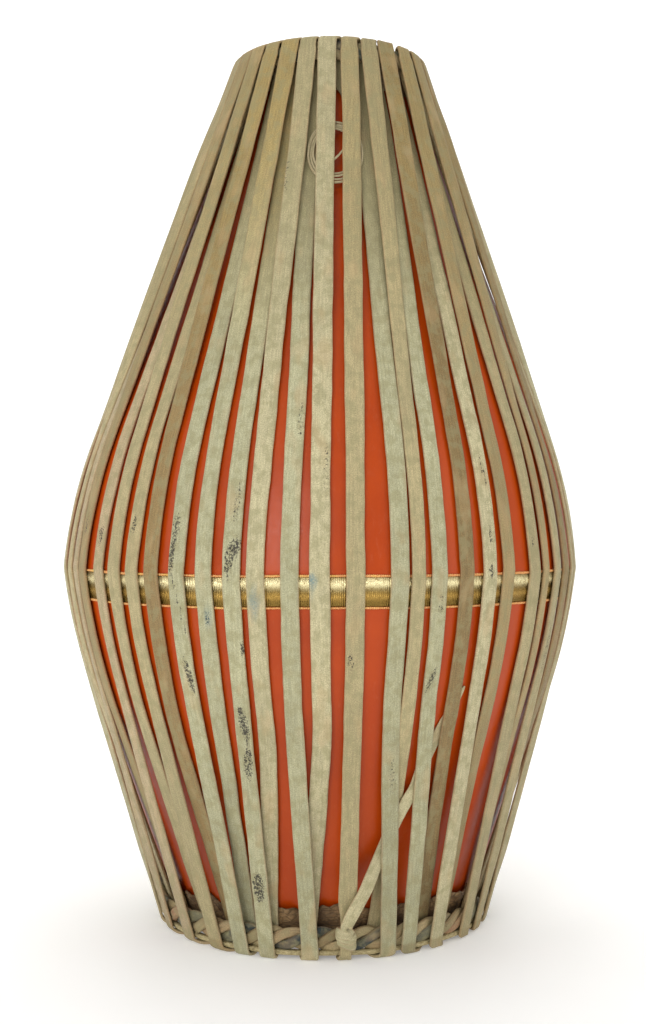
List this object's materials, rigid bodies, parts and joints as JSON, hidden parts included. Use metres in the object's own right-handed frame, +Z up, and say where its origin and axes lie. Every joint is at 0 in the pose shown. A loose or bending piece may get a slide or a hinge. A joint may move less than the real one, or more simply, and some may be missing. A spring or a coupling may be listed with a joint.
{
  "type": "hand drum",
  "caption": "Tall two-headed hand drum: a hollow double-cone gloss shell with a small and a large skin head, flat hide laces between their hoops and a gold ribbon round the belly.",
  "frame": {"origin": "centre of the bass head's underside, on the floor the drum stands on", "axes": "+Z up the drum from the bass head to the treble head; -Y is the front, where the lacing's seam run, the knot and the wound ring are; +X to the right seen from the front"},
  "size_m": [0.3498, 0.3499, 0.585],
  "materials": {
    "shell_gloss": "gloss lacquered fibreglass",
    "skin": "bare hide",
    "lining": "bare hide",
    "paste": "matte dried paste",
    "strand_light": "twisted hide",
    "strand_blue": "twisted hide, dyed",
    "strand_ochre": "twisted hide",
    "lace_hide": "dry rawhide",
    "ribbon_gold": "metallic woven",
    "ribbon_edge": "woven thread"
  },
  "bodies": {
    "root": {"shell": "shell_gloss", "bass_skin": "skin", "bass_lining_skin": "lining", "bass_tuning_paste": "paste", "treble_skin": "skin", "treble_lining_skin": "lining", "treble_tuning_paste": "paste", "bass_hoop_strand_a": "strand_light", "treble_hoop_strand_a": "strand_light", "bass_hoop_strand_b": "strand_blue", "treble_hoop_strand_b": "strand_blue", "bass_hoop_strand_c": "strand_ochre", "treble_hoop_strand_c": "strand_ochre", "bass_rim_lace": "lace_hide", "belly_ribbon": "ribbon_gold", "ribbon_edge_upper": "ribbon_edge", "ribbon_edge_lower": "ribbon_edge", "lace_01": "lace_hide", "lace_02": "lace_hide", "lace_03": "lace_hide", "lace_04": "lace_hide", "lace_05": "lace_hide", "lace_06": "lace_hide", "lace_07": "lace_hide", "lace_08": "lace_hide", "lace_09": "lace_hide", "lace_10": "lace_hide", "lace_11": "lace_hide", "lace_12": "lace_hide", "lace_13": "lace_hide", "lace_14": "lace_hide", "lace_15": "lace_hide", "wound_ring": "lace_hide", "tail_lace": "lace_hide"}
  },
  "joints": []
}
